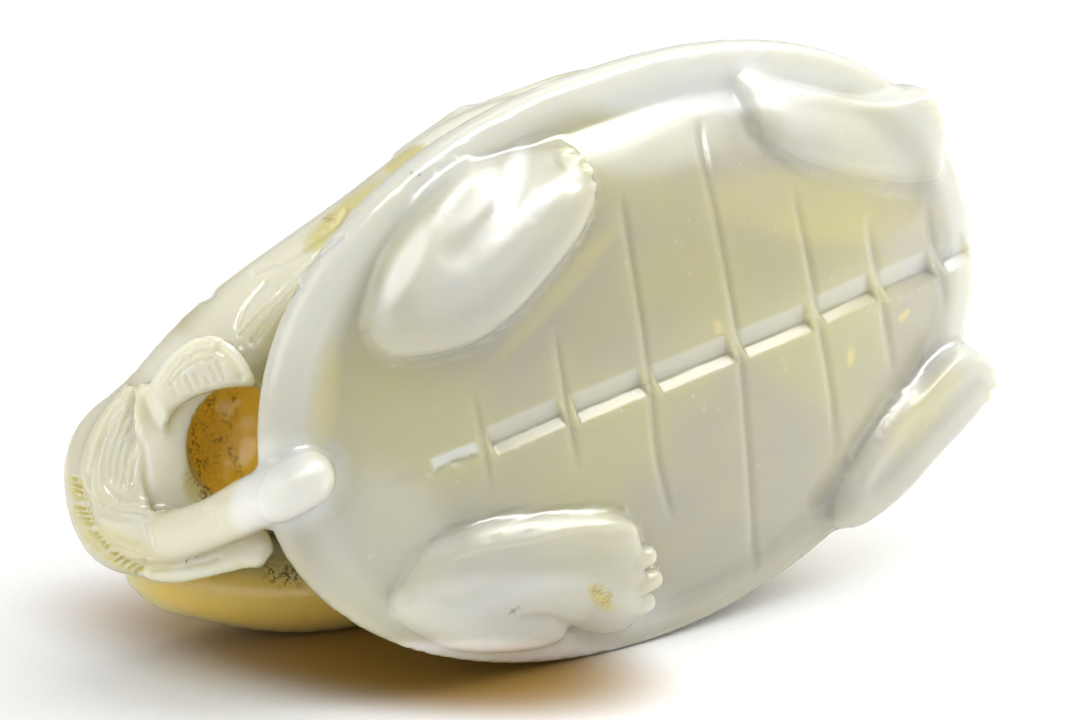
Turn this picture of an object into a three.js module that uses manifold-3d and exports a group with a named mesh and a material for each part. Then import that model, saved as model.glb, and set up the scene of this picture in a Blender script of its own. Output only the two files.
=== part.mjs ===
// A turtle with a crane lying on its back, carved in the round from one pebble of pale nephrite.
// It lies as a loose carving does, on its lower shell rim, a wing tip and a wing shoulder.
// The carving's own axes are +X to the turtle's head, +Y to its left side and +Z out of its belly.
// The last steps turn it as it lies, with +Z up.
import * as THREE from "three";
import { mergeVertices } from "three/addons/utils/BufferGeometryUtils.js";
import Module from "manifold-3d";

const wasm = await Module();
wasm.setup();

// Driving sizes of the turtle, in millimetres.
const TAIL_REACH = 28.6;
const HEAD_REACH = 28.1;
const SHELL_HALF_WIDTH = 20;
const LEFT_ROUNDNESS = 2.25;
const RIGHT_ROUNDNESS = 1.93;
const HEAD_SKEW = -0.015;
const TAIL_SKEW = 0.05;
const BELLY_HEIGHT = 5.8;
const BACK_DEPTH = 11.6;
const BACK_FULLNESS = 5;
const RIM_VALLEY = 0.88;
const RIM_HEIGHT = 1.3;
const GROOVE_WIDTH = 0.75;

// How it lies: the head end is raised by PITCH and the belly leans back by LEAN, in degrees.
const PITCH = 7.5;
const LEAN = 5;
const FLAT_SPOT = 0.55;

// How fine the facets are.
const SHELL_SIDES = 48;
const LIMB_SIDES = 12;
const LIMB_RINGS = 8;

// Joining and cutting

// A closed three.js geometry as a solid that can be joined and cut.
function solid(geometry) {
  const bare = geometry.clone();
  bare.deleteAttribute("normal");
  bare.deleteAttribute("uv");
  const merged = mergeVertices(bare, 1e-4);
  const corners = [];
  for (let i = 0; i < merged.index.count; i += 3) {
    const [a, b, c] = [0, 1, 2].map((k) => merged.index.getX(i + k));
    if (a !== b && b !== c && c !== a) corners.push(a, b, c);
  }
  const made = new wasm.Manifold(
    new wasm.Mesh({
      numProp: 3,
      vertProperties: merged.attributes.position.array,
      triVerts: new Uint32Array(corners),
    }),
  );
  return made;
}

// The solid's surface as a three.js geometry.
function geometryOf(body) {
  const mesh = body.getMesh();
  const geometry = new THREE.BufferGeometry();
  geometry.setAttribute("position", new THREE.BufferAttribute(mesh.vertProperties, 3));
  geometry.setIndex(new THREE.BufferAttribute(mesh.triVerts, 1));
  return geometry;
}

// Moves every vertex of a geometry by a function of its place.
function reshape(geometry, place) {
  const at = geometry.attributes.position;
  const point = new THREE.Vector3();
  for (let i = 0; i < at.count; i++) {
    place(point.fromBufferAttribute(at, i));
    at.setXYZ(i, point.x, point.y, point.z);
  }
  return geometry;
}

// A smooth curve through stations of [x, y, z, radius], with the place of a point of its section.
// flat squeezes the section along the direction "out", and turn goes round it from the side.
function spine(stations, { flat = 1, out = [0, 0, 1] } = {}) {
  const path = new THREE.CatmullRomCurve3(stations.map(([x, y, z]) => new THREE.Vector3(x, y, z)));
  const girth = new THREE.CatmullRomCurve3(stations.map((s, i) => new THREE.Vector3(i, s[3], 0)));
  const outward = new THREE.Vector3(...out);
  const section = (t, turn, share) => {
    const radius = girth.getPoint(path.getUtoTmapping(t)).y * share;
    const along = path.getTangentAt(t);
    const side = new THREE.Vector3().crossVectors(along, outward).normalize();
    const up = new THREE.Vector3().crossVectors(side, along);
    return path
      .getPointAt(t)
      .addScaledVector(side, radius * Math.cos(turn))
      .addScaledVector(up, radius * flat * Math.sin(turn));
  };
  return { path, section, length: path.getLength() };
}

// A closed round-ended limb along a spine. sides of 4 gives a knife-edged one.
function limb(stations, options = {}) {
  const { sides = LIMB_SIDES, rings = LIMB_RINGS } = options;
  const { path, section, length } = spine(stations, options);
  const first = stations[0][3];
  const last = stations[stations.length - 1][3];
  return reshape(new THREE.SphereGeometry(1, sides, rings), (p) => {
    const turn = Math.atan2(-p.z, p.x);
    const pole = Math.hypot(p.x, p.z) < 1e-6;
    const run = ((1 - p.y) / 2) * (length + first + last) - first;
    const t = THREE.MathUtils.clamp(run / length, 0, 1);
    const beyond = run - t * length;
    const over = beyond / (beyond < 0 ? first : last);
    const share = pole ? 0 : Math.sqrt(Math.max(0, 1 - over * over));
    p.copy(section(t, turn, share)).addScaledVector(path.getTangentAt(t), beyond);
  });
}

// A knife-edged cutter that follows a limb's surface at one turn of its section and fades out.
function cutAlong(stations, options, turn, width) {
  const { section } = spine(stations, options);
  const steps = [0.08, 0.3, 0.55, 0.8, 0.98];
  const line = steps.map((t, i) => {
    const { x, y, z } = section(t, turn, 1);
    return [x, y, z, i % 4 === 0 ? width / 4 : width];
  });
  return limb(line, { sides: 4, rings: 4, out: options.out });
}

const joined = (pieces) => pieces.map(solid).reduce((whole, piece) => whole.add(piece));

// Shell

// The share of the way from the shell's middle to its outline at a place.
function reach(x, y) {
  const roundness = y > 0 ? LEFT_ROUNDNESS : RIGHT_ROUNDNESS;
  const heading = x / Math.max(Math.hypot(x, y), 1e-9);
  const askew = x - y * THREE.MathUtils.lerp(TAIL_SKEW, HEAD_SKEW, (1 + heading) / 2);
  const along = Math.abs(askew / (askew > 0 ? HEAD_REACH : TAIL_REACH)) ** roundness;
  const across = Math.abs(y / SHELL_HALF_WIDTH) ** roundness;
  return (along + across) ** (1 / roundness);
}

// The height of the belly at a share of the way out.
const bellyAt = (share) => RIM_HEIGHT * 0.6 + (BELLY_HEIGHT - RIM_HEIGHT * 0.6) * (1 - (share / RIM_VALLEY) ** 2);
const bellyOver = (x, y) => bellyAt(Math.min(reach(x, y), RIM_VALLEY));

// The depth of the back at a share of the way out.
const backAt = (share) => -2 - (BACK_DEPTH - 2) * (1 - (share / 0.95) ** BACK_FULLNESS);

// Half of the shell's section: belly, valley, rolled rim, step and domed back.
function shellProfile() {
  const points = [];
  for (let k = 0; k <= 6; k++) {
    const share = (RIM_VALLEY * k) / 6;
    points.push([share, bellyAt(share)]);
  }
  points.push([0.92, RIM_HEIGHT], [0.965, RIM_HEIGHT * 0.92], [1, 0.1], [0.99, -1.1], [0.95, -2]);
  for (let k = 1; k <= 6; k++) {
    const share = 0.95 * Math.cos((k * Math.PI) / 12);
    points.push([share, backAt(share)]);
  }
  return points.map(([share, z]) => new THREE.Vector2(Math.abs(share) < 1e-9 ? 0 : share, z));
}

function shell() {
  const turned = new THREE.LatheGeometry(shellProfile().reverse(), SHELL_SIDES);
  return reshape(turned, (p) => {
    const share = Math.hypot(p.x, p.z);
    const turn = Math.atan2(-p.z, p.x);
    const [x, y] = [Math.cos(turn), Math.sin(turn)];
    const edge = share > 1e-9 ? share / reach(x, y) : 0;
    p.set(x * edge, y * edge, p.y);
  });
}

// A knife cut across the belly, bowed to one side, that fades out at both ends.
function bellyCut(from, to, width, bow = 0) {
  const stations = [0, 0.2, 0.4, 0.6, 0.8, 1].map((t) => {
    const x = THREE.MathUtils.lerp(from[0], to[0], t);
    const y = THREE.MathUtils.lerp(from[1], to[1], t) + 4 * bow * t * (1 - t);
    return [x, y, bellyOver(x, y) + 0.1, width * (0.3 + 2.8 * t * (1 - t))];
  });
  return limb(stations, { sides: 4, rings: 8 });
}

// The middle groove and the cross grooves between the belly plates.
function bellyGrooves() {
  const middle = bellyCut([-23.4, -1], [27.6, -1], GROOVE_WIDTH * 1.3, 1);
  const plates = [
    [-14.5, 3.8, -4.4],
    [-8.4, 6.2, -4.9],
    [-2, 13, -11],
    [5.4, 15.4, -15.6],
    [12.2, 9, -11.8],
    [17.9, 5.2, -7.4],
    [24, 3.6, -4],
  ];
  const across = plates.map(([x, left, right]) => bellyCut([x, left], [x + 0.2, right], GROOVE_WIDTH));
  return [middle, ...across];
}

// Legs

// A row of toes at the end of a foot, side by side from one corner of the foot to the other.
function toes(from, to, ahead, count, radius) {
  return Array.from({ length: count }, (_, i) => {
    const t = i / (count - 1);
    const root = from.map((value, k) => THREE.MathUtils.lerp(value, to[k], t));
    const tip = root.map((value, k) => value + ahead[k]);
    return limb([[...root, radius], [...tip, radius * 0.8]], { sides: 4, rings: 3 });
  });
}

function hindLegs() {
  const left = [
    limb([[-16.8, 9.8, 1.6, 3.2], [-13, 10.8, 2.4, 3.9], [-8.5, 12.8, 2.6, 3.5], [-4.9, 14.6, 2.6, 2.3]], {
      flat: 0.75,
    }),
    limb([[-15.5, 13.4, 1.2, 1.3], [-11, 15.2, 1.4, 1.5], [-7, 16.2, 1.6, 1.2]]),
    ...toes([-3.9, 13.2, 3.4], [-5.2, 16.6, 2.6], [1.1, 0.5, -0.2], 4, 0.75),
  ];
  const right = [
    limb([[-18.4, -10.8, 0.6, 3.2], [-14.2, -10.6, 1.8, 4.6], [-9.4, -11.2, 2.4, 3.9], [-6, -12.4, 2.4, 3]], {
      flat: 0.72,
    }),
    limb([[-17, -13.9, 0.6, 1.8], [-13, -14.9, 1, 1.8], [-10.5, -15.2, 1.2, 1.3]]),
    limb([[-7.2, -15, 1.4, 2.1], [-6, -14, 2, 2.6]], { flat: 0.8, rings: 5 }),
    ...toes([-4.2, -10.8, 3.6], [-4.6, -16, 2.2], [0.9, -0.1, -0.2], 4, 0.85),
  ];
  return [...left, ...right];
}

function frontLegs() {
  const left = [
    limb([[11.6, 15.2, 1.2, 1.6], [15.2, 12.2, 2.2, 2.9], [19.8, 10.2, 1.9, 3.2], [23.4, 8.6, 1.2, 3.1]], {
      flat: 0.7,
    }),
    ...toes([25.2, 10.6, 0.2], [25.4, 5.8, 0.9], [0.9, 0, -0.2], 4, 0.8),
  ];
  const right = [
    limb([[14.2, -15.9, 0.4, 2.1], [18, -14, 1.2, 3], [22, -11.8, 0.9, 3], [26, -10, 0.4, 2.2]], {
      flat: 0.7,
    }),
    ...toes([27.4, -9, 0.4], [27.2, -11.6, 0], [0.9, 0.3, -0.2], 3, 0.8),
  ];
  return [...left, ...right];
}

// The head is drawn in and turned up at the front of the back, out of sight from the belly.
function turtleHead() {
  return [
    limb([[20, -1, -6, 4.4], [24.6, -1, -8.4, 3.6], [27, -1, -11, 3], [27.2, -1, -13.4, 2.3]]),
    ...[-1, 1].map((side) => limb([[28, -1 + side * 1.9, -12.2, 0.7], [28.2, -1 + side * 2, -12.8, 0.6]], {
      sides: 5,
      rings: 4,
    })),
  ];
}

// The tail leaves the rump as a round knob, turns back and runs into the wing plumes.
function turtleTail() {
  const stations = [
    [-26.2, 0.4, 1.2, 1.9],
    [-27.6, 0, 0.8, 1.9],
    [-29, -1.1, -1.5, 1.8],
    [-30.4, -2.7, -4.6, 1.65],
    [-31.6, -3.9, -7.6, 1.7],
    [-32, -4.8, -10.4, 1.9],
  ];
  return [limb(stations, { rings: 12 })];
}

// Crane

function craneBody() {
  const stations = [
    [-20, -1.5, -12.4, 4.6],
    [-10, -0.8, -13.6, 8.6],
    [2, 0, -14, 9.8],
    [12, 0.6, -12, 6.6],
  ];
  return [limb(stations, { flat: 0.8, sides: 12, rings: 8 })];
}

// The neck leaves the breast, turns back along the left side and ends in a head with a long bill.
function craneNeck() {
  const neck = [
    [11, 2, -14.6, 4],
    [16.6, 5, -15.2, 2.8],
    [16, 10, -15, 2.2],
    [8.6, 13.2, -14.6, 2],
    [1.2, 13.4, -14.8, 1.9],
  ];
  return [
    limb(neck, { rings: 11 }),
    limb([[-1.4, 13, -14.8, 2.4], [-6, 12, -15, 2]]),
    limb([[-7, 11.6, -15.2, 1.3], [-12, 9.2, -16, 1], [-18, 6.4, -16.6, 0.5]], { sides: 6 }),
  ];
}

// The long outer feathers of a wing, from the shoulder to the tip.
const LEFT_PRIMARIES = [
  [7, 10.8, -11.2, 4],
  [-2, 11.6, -11.4, 4],
  [-12, 8.9, -11.8, 3.6],
  [-22, 4.6, -12.8, 3.1],
  [-29.4, 2, -14, 2.4],
];
const RIGHT_PRIMARIES = [
  [9, -15.5, -11.6, 4.6],
  [0, -14.9, -12.2, 4.5],
  [-10, -14, -13, 4.1],
  [-20.4, -13.1, -14.2, 3.5],
  [-28.6, -10.1, -14.6, 2.5],
];
const LEFT_VANE = { flat: 1.25, out: [0, 0.3, -1], rings: 7 };
const RIGHT_VANE = { flat: 1.25, out: [0, -0.3, -1], rings: 7 };

// The shorter feathers that lie on the back, between the long ones and the body.
const LEFT_COVERTS = [
  [-2, 8, -15.6, 3.2],
  [-14, 4.6, -15.8, 3.2],
  [-25, 1.2, -16.4, 2.2],
];
const RIGHT_COVERTS = [
  [0, -9.4, -16.2, 3.6],
  [-12, -8.8, -16.4, 3.4],
  [-24, -7, -16.4, 2.4],
];

function leftWing() {
  return [
    limb(LEFT_PRIMARIES, LEFT_VANE),
    limb([[-10, 9.6, -8.6, 2], [-17, 8, -9.6, 2.2], [-23.6, 5.8, -10.6, 1.5]], { flat: 0.7 }),
    limb(LEFT_COVERTS, { flat: 0.8 }),
  ];
}

function rightWing() {
  return [
    limb(RIGHT_PRIMARIES, RIGHT_VANE),
    limb(RIGHT_COVERTS, { flat: 0.8 }),
  ];
}

// The outer curl sweeps round the rump from the wing to the tail.
const CURL = [
  [-31.2, -6, -10.6, 1.9],
  [-33.7, -4.8, -12.6, 2.2],
  [-33.8, -1.8, -14.2, 2.2],
  [-32.4, 1, -14.8, 2],
  [-28.8, 2.8, -14.4, 1.9],
];

// Above the hollow lies a fan, below it a thin pointed plume, and behind it the tail plume.
function plumes() {
  const fan = [
    [-29.8, 3.8, -11.4, 1.3],
    [-28, 5.9, -9.6, 1.6],
    [-25.8, 6.2, -8.2, 1.5],
    [-24.8, 5, -7.2, 0.9],
  ];
  const point = [
    [-32.2, -7.2, -12, 1.6],
    [-30.8, -7.6, -10.2, 1.6],
    [-28, -7.4, -8.4, 1.3],
    [-26, -7.2, -7, 0.5],
  ];
  return [
    limb(CURL, { flat: 1.1, rings: 9 }),
    limb(fan, { flat: 0.7 }),
    limb(point, { flat: 0.7 }),
    limb([[-30, -3, -16.4, 3.2], [-24, -2.6, -16.2, 4.4], [-16, -2, -15.6, 5]], { flat: 0.6 }),
  ];
}

// Long cuts that part the feathers on the back of the wings and on the front of the curl.
function featherCuts() {
  return [
    cutAlong(LEFT_PRIMARIES, LEFT_VANE, 1.2, 0.5),
    cutAlong(LEFT_COVERTS, { flat: 0.8 }, -1.4, 0.5),
    cutAlong(RIGHT_PRIMARIES, RIGHT_VANE, 1.9, 0.5),
    cutAlong(RIGHT_COVERTS, { flat: 0.8 }, -1.6, 0.5),
    cutAlong(CURL, { flat: 1.1 }, 1.1, 0.4),
  ];
}

// The blind hollow, drilled between the rump, the tail and the plumes.
const hollow = () => limb([[-26.4, 0.6, -9.6, 2], [-25.6, 0.2, -14.4, 1.9]], { out: [1, 0, 0] });

// Whole carving

function carving() {
  const whole = joined([
    shell(),
    ...hindLegs(),
    ...frontLegs(),
    ...turtleHead(),
    ...turtleTail(),
    ...craneBody(),
    ...craneNeck(),
    ...leftWing(),
    ...rightWing(),
    ...plumes(),
  ]);
  return geometryOf(whole.subtract(joined([...bellyGrooves(), ...featherCuts(), hollow()])));
}

// Turns the carving as it lies, and gives it small flat spots where it touches the surface.
function laid(geometry) {
  geometry.rotateX(THREE.MathUtils.degToRad(90 - LEAN));
  geometry.rotateY(THREE.MathUtils.degToRad(-PITCH));
  geometry.computeBoundingBox();
  const low = geometry.boundingBox.min.z + FLAT_SPOT;
  const under = new THREE.BoxGeometry(200, 200, 20).translate(0, 0, low - 10);
  const rested = geometryOf(solid(geometry).subtract(solid(under)));
  rested.computeBoundingBox();
  const middle = rested.boundingBox.getCenter(new THREE.Vector3());
  return rested.translate(-middle.x, -middle.y, -low);
}

const nephrite = new THREE.MeshStandardMaterial({
  color: 0xd9d8c8,
  roughness: 0.22,
  metalness: 0,
});
const carved = new THREE.Mesh(laid(carving()), nephrite);
carved.name = "crane_and_turtle_carving";

const part = new THREE.Group();
part.add(carved);
export default part;
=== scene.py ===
"""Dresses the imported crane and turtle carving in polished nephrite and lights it.

Lengths are in millimetres on the carving's own axes, +X to the turtle's head, +Y to the side that is
uppermost as it lies and +Z out of its belly, and become metres in the frame's axes in the last step.
Left is the side towards +Y in all the names, as one sees it from the tail with the belly on top.
"""

import itertools
import math

import bpy
import numpy as np
from mathutils import Matrix, Vector


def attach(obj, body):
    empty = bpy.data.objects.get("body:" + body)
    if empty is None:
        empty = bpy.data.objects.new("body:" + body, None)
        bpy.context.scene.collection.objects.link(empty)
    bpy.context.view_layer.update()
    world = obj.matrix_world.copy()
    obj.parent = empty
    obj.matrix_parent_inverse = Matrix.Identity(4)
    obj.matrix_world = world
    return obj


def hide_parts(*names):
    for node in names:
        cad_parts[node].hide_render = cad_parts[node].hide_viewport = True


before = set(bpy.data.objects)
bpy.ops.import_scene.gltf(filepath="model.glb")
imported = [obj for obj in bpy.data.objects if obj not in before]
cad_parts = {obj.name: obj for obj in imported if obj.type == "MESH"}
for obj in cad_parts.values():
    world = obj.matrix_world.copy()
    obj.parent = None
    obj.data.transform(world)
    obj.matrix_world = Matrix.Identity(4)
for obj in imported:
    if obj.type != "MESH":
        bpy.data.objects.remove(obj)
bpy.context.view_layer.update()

bl_info = {
    "name": "Crane and turtle carving",
    "version": (1, 0, 0),
    "blender": (4, 5, 0),
    "location": "3D View > Sidebar > Carving",
    "description": "Carves a nephrite turtle with a crane on its back and sets a studio round it",
    "category": "Object",
}

NODE = "crane_and_turtle_carving"
MM = 0.001

# How the carving lies: pitch and lean in degrees, and where the shell's middle comes to be.
PITCH = 7.5
LEAN = 5.0
SHELL_MIDDLE = (2.735, -7.691, 20.051)

# The camera's distance and lens in mm, the turns in degrees from the carving's axes to those of the
# view, where the shell's middle is in the view in mm, and the picture's scale and middle in pixels.
CAMERA_DISTANCE = 300.0
CAMERA_LENS = 150.0
VIEW_TURN = 20.0
VIEW_YAW = 27.0
VIEW_ROLL = 22.0
VIEW_OFFSET = (6.4, 0.33, 0.0)
PIXELS_PER_MM = 15.0
PICTURE_MIDDLE = (540.0, 360.0)

# Sizes of the turtle.
TAIL_REACH = 28.6
HEAD_REACH = 28.1
SHELL_HALF_WIDTH = 20.0
LEFT_ROUNDNESS = 2.25
RIGHT_ROUNDNESS = 1.93
HEAD_SKEW = -0.015
TAIL_SKEW = 0.05
BELLY_HEIGHT = 5.8
BELLY_FULLNESS = 2.5
BACK_DEPTH = 11.6
BACK_FULLNESS = 5.0
RIM_VALLEY = 0.88
RIM_FOOT = 0.7
RIM_CREST = 0.915
RIM_HEIGHT = 1.15
RIM_DIP = 6.0
RIM_FALL = 7.0
RIM_FILLET = 0.7

# Where the search for the belly starts, how far round a form its distance is worked out, and the
# distance that stands for all places beyond that.
FIRST_HEIGHT = 3.0
ROOM = 1.5
FAR = 5.0

# How far the edges of the legs, of their feet and of the plumes are rounded.
LEG_EDGE = 0.9
LEG_FOOT = 0.8
PLUME_EDGE = 0.4

# How fine the first mesh is. Then, for each round of halving, the widths of the cuts that it is for and
# how far beside them it goes, in pixels, with its own margin for the middle line.
GRID_STEP = 0.6
FINER = ((12, 1), (8, -1), (4, -1.6))
MIDDLE_MARGIN = 2

# When corners are moved onto the surface: the gentlest slope that is followed, the longest move in mm.
LEAST_SLOPE = 0.5
LONGEST_MOVE = 0.3


# Colours

def linear(hex_colour):
    """An sRGB hex colour as the linear red, green, blue and alpha that shaders take."""
    parts = [int(hex_colour[i : i + 2], 16) / 255 for i in (1, 3, 5)]
    return [p / 12.92 if p <= 0.04045 else ((p + 0.055) / 1.055) ** 2.4 for p in parts] + [1.0]


# Axes

def view_axes():
    """The carving's axes, one in each row, as right, up and nearer in the camera's view."""
    turn, yaw, roll = (math.radians(a) for a in (VIEW_TURN, VIEW_YAW, VIEW_ROLL))
    along = np.array([math.cos(yaw) * math.cos(turn), math.cos(yaw) * math.sin(turn), -math.sin(yaw)])
    level = np.array([-math.sin(turn), math.cos(turn), 0.0])
    across = level * math.cos(roll) + np.cross(along, level) * math.sin(roll)
    return np.array([along, across, np.cross(along, across)])


AXES = view_axes()


def seen(points):
    """Where points of the carving are seen: across and down the picture, and nearness in mm."""
    view = points @ AXES + np.array(VIEW_OFFSET)
    scale = PIXELS_PER_MM * CAMERA_DISTANCE / (CAMERA_DISTANCE - view[:, 2])
    return PICTURE_MIDDLE[0] + view[:, 0] * scale, PICTURE_MIDDLE[1] - view[:, 1] * scale, view[:, 2]


def in_view(spot, near):
    """Right, up and nearer in the view, in mm, for a spot of the picture."""
    across, down = spot[0] - PICTURE_MIDDLE[0], spot[1] - PICTURE_MIDDLE[1]
    return [across / PIXELS_PER_MM, -down / PIXELS_PER_MM, near]


def from_view(places):
    """The places on the carving's axes of places in the view."""
    return (np.array(places) - np.array(VIEW_OFFSET)) @ AXES.T


def on_belly(spots, lift):
    """The places where spots of the picture meet the belly, raised by lift."""
    eye = from_view([0, 0, CAMERA_DISTANCE])
    ray = np.array([in_view(spot, -CAMERA_DISTANCE) for spot in spots]) @ AXES.T
    height = np.full(len(spots), FIRST_HEIGHT)
    for _ in range(20):
        found = eye + ray * ((height - eye[2]) / ray[:, 2])[:, None]
        share = np.minimum(reach(found[:, 0], found[:, 1]), RIM_VALLEY)
        height = 0.5 * height + 0.5 * (belly_height(share) + lift)
    return found


def lying():
    """The matrix from the carving's axes, in mm, to the frame's axes, in metres."""
    pitched = Matrix.Rotation(math.radians(-PITCH), 4, "Y")
    stood_up = Matrix.Rotation(math.radians(90 - LEAN), 4, "X")
    return Matrix.Scale(MM, 4) @ Matrix.Translation(SHELL_MIDDLE) @ (pitched @ stood_up)


# Solid forms, as distances in mm that are negative inside

def blended(a, b, blend):
    """The union of two forms with a fillet of about half the blend."""
    overlap = np.maximum(blend - np.abs(a - b), 0)
    return np.minimum(a, b) - overlap * overlap / (4 * blend)


def spline(knots, per_span):
    """Points along the smooth curve that runs from the second knot to the last but one."""
    made = []
    for p0, p1, p2, p3 in zip(knots, knots[1:], knots[2:], knots[3:]):
        for t in np.arange(per_span) / per_span:
            a = 2 * p1 + (p2 - p0) * t
            b = (2 * p0 - 5 * p1 + 4 * p2 - p3) * t * t
            c = (3 * p1 - p0 - 3 * p2 + p3) * t**3
            made.append((a + b + c) / 2)
    return made


def smooth_path(stations, per_span=6):
    """A smooth curve through stations, with all that each one holds."""
    knots = np.array(stations, float)
    knots = np.vstack([2 * knots[0] - knots[1], knots, 2 * knots[-1] - knots[-2]])
    return np.array([*spline(knots, per_span), knots[-2]])


def rounded(outline, per_span=4):
    """A smooth closed line through the corners of an outline."""
    knots = np.array(outline, float)
    return np.array(spline(np.vstack([knots[-1:], knots, knots[:2]]), per_span))


class Limb:
    """A round-ended limb along a smooth curve. flat squeezes it along the direction out."""

    def __init__(self, stations, flat=1.0, out=(0, 0, 1), blend=0.8):
        path = smooth_path(stations)
        self.start = path[:-1, :3]
        self.run = path[1:, :3] - path[:-1, :3]
        self.radius = path[:, 3]
        self.flat = flat
        self.blend = blend
        side = np.cross(self.run, np.array(out, float))
        up = np.cross(side, self.run)
        self.up = up / np.linalg.norm(up, axis=1, keepdims=True)
        widest = self.radius.max() * max(1, flat) + blend + 0.6
        self.low = path[:, :3].min(axis=0) - widest
        self.high = path[:, :3].max(axis=0) + widest

    def distance(self, points):
        best = np.full(len(points), 1e3, np.float32)
        for i, run in enumerate(self.run):
            off = points - self.start[i]
            t = np.clip(off @ run / (run @ run), 0, 1)
            off = off - t[:, None] * run
            if self.flat != 1:
                off = off + (off @ self.up[i])[:, None] * self.up[i] * (1 / self.flat - 1)
            radius = self.radius[i] + t * (self.radius[i + 1] - self.radius[i])
            best = np.minimum(best, np.sqrt((off * off).sum(axis=1)) - radius)
        return best


def reach(x, y):
    """The share of the way from the shell's middle to its outline at a place."""
    roundness = np.where(y > 0, LEFT_ROUNDNESS, RIGHT_ROUNDNESS)
    heading = x / np.maximum(np.hypot(x, y), 1e-6)
    skew = TAIL_SKEW + (HEAD_SKEW - TAIL_SKEW) * (1 + heading) / 2
    askew = x - y * skew
    along = np.abs(askew / np.where(askew > 0, HEAD_REACH, TAIL_REACH)) ** roundness
    across = np.abs(y / SHELL_HALF_WIDTH) ** roundness
    return (along + across) ** (1 / roundness)


def belly_height(share):
    """The height of the belly and, past its shallow valley, of the rim."""
    dome = RIM_FOOT + (BELLY_HEIGHT - RIM_FOOT) * (1 - (share / RIM_VALLEY) ** BELLY_FULLNESS)
    outside = np.maximum(share - RIM_CREST, 0)
    rim = RIM_HEIGHT - RIM_FALL * outside - RIM_DIP * np.maximum(RIM_CREST - share, 0)
    return -blended(-dome, -rim, RIM_FILLET)


def back_height(share):
    return -2 - (BACK_DEPTH - 2) * (1 - (share / 0.95) ** BACK_FULLNESS)


def shell_section():
    """Half of the shell's section, from the belly's middle round the rim to the back's middle."""
    belly = [(s, belly_height(s)) for s in np.linspace(0, 0.955, 30)]
    rim = [(0.98, 0.66), (0.992, 0.42), (1.0, 0.0), (0.998, -0.6), (0.985, -1.3), (0.95, -2)]
    turns = np.arange(1, 13) * math.pi / 24
    back = [(0.95 * math.cos(a), back_height(0.95 * math.cos(a))) for a in turns]
    return np.array(belly + rim + back)


def outline_distance(x, y, outline):
    """The distance to a closed outline, negative inside it."""
    best = np.full(len(x), 1e9)
    inside = np.zeros(len(x), bool)
    for (x0, y0), (x1, y1) in zip(outline, np.roll(outline, -1, axis=0)):
        dx, dy = x1 - x0, y1 - y0
        t = np.clip(((x - x0) * dx + (y - y0) * dy) / (dx * dx + dy * dy + 1e-12), 0, 1)
        best = np.minimum(best, (x - x0 - t * dx) ** 2 + (y - y0 - t * dy) ** 2)
        if y0 != y1:
            inside ^= ((y0 > y) != (y1 > y)) & (x < x0 + (y - y0) / (y1 - y0) * dx)
    return np.where(inside, -1, 1) * np.sqrt(best)


def crossed(a, b, blend):
    """What two forms share, with its edge rounded."""
    return -blended(-a, -b, blend)


class Relief:
    """A raised form on the belly with a domed top. Its outline is where the picture shows it."""

    def __init__(self, spots, height, dome=2.5, blend=0.7, under=-1.2):
        self.outline = rounded(on_belly(spots, height * 0.6)[:, :2])
        self.height = height
        self.dome = dome
        self.blend = blend
        self.under = under
        self.low = np.array([*self.outline.min(axis=0), under]) - ROOM
        self.high = np.array([*self.outline.max(axis=0), BELLY_HEIGHT + height]) + ROOM

    def distance(self, points):
        x, y, z = points.T
        edge = outline_distance(x, y, self.outline)
        share = np.minimum(reach(x, y), RIM_VALLEY)
        depth = np.clip(-edge / self.dome, 0, 1)
        top = belly_height(share) + self.height * (0.45 + 0.55 * (1 - (1 - depth) ** 2))
        return crossed(crossed(edge, z - top, LEG_EDGE), self.under - z, LEG_FOOT)


class Plate:
    """A plume that faces the camera. Its outline is where the picture shows it.

    near is the nearness of its front in mm, tilt how much that grows across and down the picture for
    each mm, bulge how far its middle stands out, and thick how far it runs back.
    """

    def __init__(self, spots, near, tilt=(0, 0), bulge=0.6, thick=2.5, blend=0.3, dome=1.5):
        self.outline = rounded(spots)
        self.middle = np.mean(spots, axis=0)
        self.near, self.tilt, self.bulge, self.thick, self.blend = near, tilt, bulge, thick, blend
        self.dome = dome
        start = in_view(self.outline.min(axis=0), near - thick - 3)
        end = in_view(self.outline.max(axis=0), near + 3)
        box = from_view(list(itertools.product(*zip(start, end))))
        self.low, self.high = box.min(axis=0) - ROOM, box.max(axis=0) + ROOM

    def distance(self, points):
        across, down, near = seen(points)
        edge = outline_distance(across, down, self.outline) / PIXELS_PER_MM
        depth = np.clip(-edge / self.dome, 0, 1)
        front = self.near + self.bulge * (1 - (1 - depth) ** 2)
        front = front + (across - self.middle[0]) / PIXELS_PER_MM * self.tilt[0]
        front = front + (down - self.middle[1]) / PIXELS_PER_MM * self.tilt[1]
        return crossed(crossed(edge, near - front, PLUME_EDGE), front - self.thick - near, PLUME_EDGE)


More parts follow.
